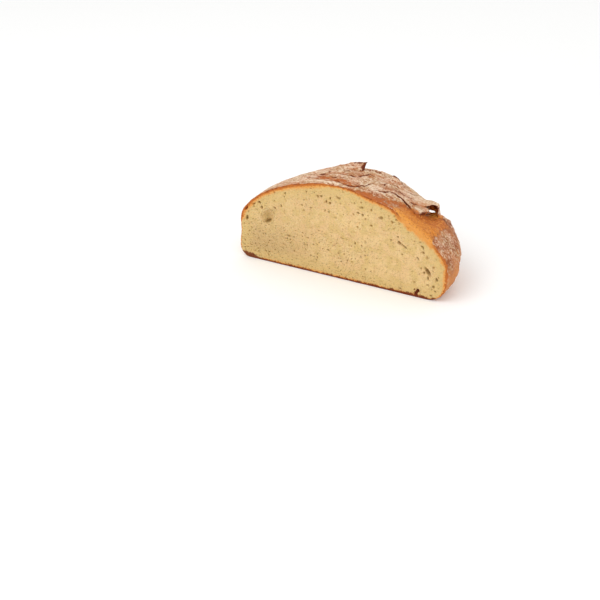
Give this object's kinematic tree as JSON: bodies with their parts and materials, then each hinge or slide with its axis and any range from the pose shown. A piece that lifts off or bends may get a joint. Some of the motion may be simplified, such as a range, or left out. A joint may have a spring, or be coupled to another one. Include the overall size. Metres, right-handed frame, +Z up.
{
  "type": "cut country loaf",
  "caption": "Half of a round, hearth-baked country loaf with a floured, torn crust and a straight cut that shows its pale crumb, resting on its flat base.",
  "frame": {"origin": "middle of the bounding box at the flat base that the loaf rests on", "axes": "+X along the cut face, +Y from the cut face back into the loaf, +Z up"},
  "size_m": [0.2368, 0.115, 0.1059],
  "materials": {
    "crust": "baked bread, matt: floured pinkish brown crust, orange-brown where it tore, pale yellow porous crumb in the cut"
  },
  "bodies": {
    "root": {"loaf": "crust"}
  },
  "joints": []
}
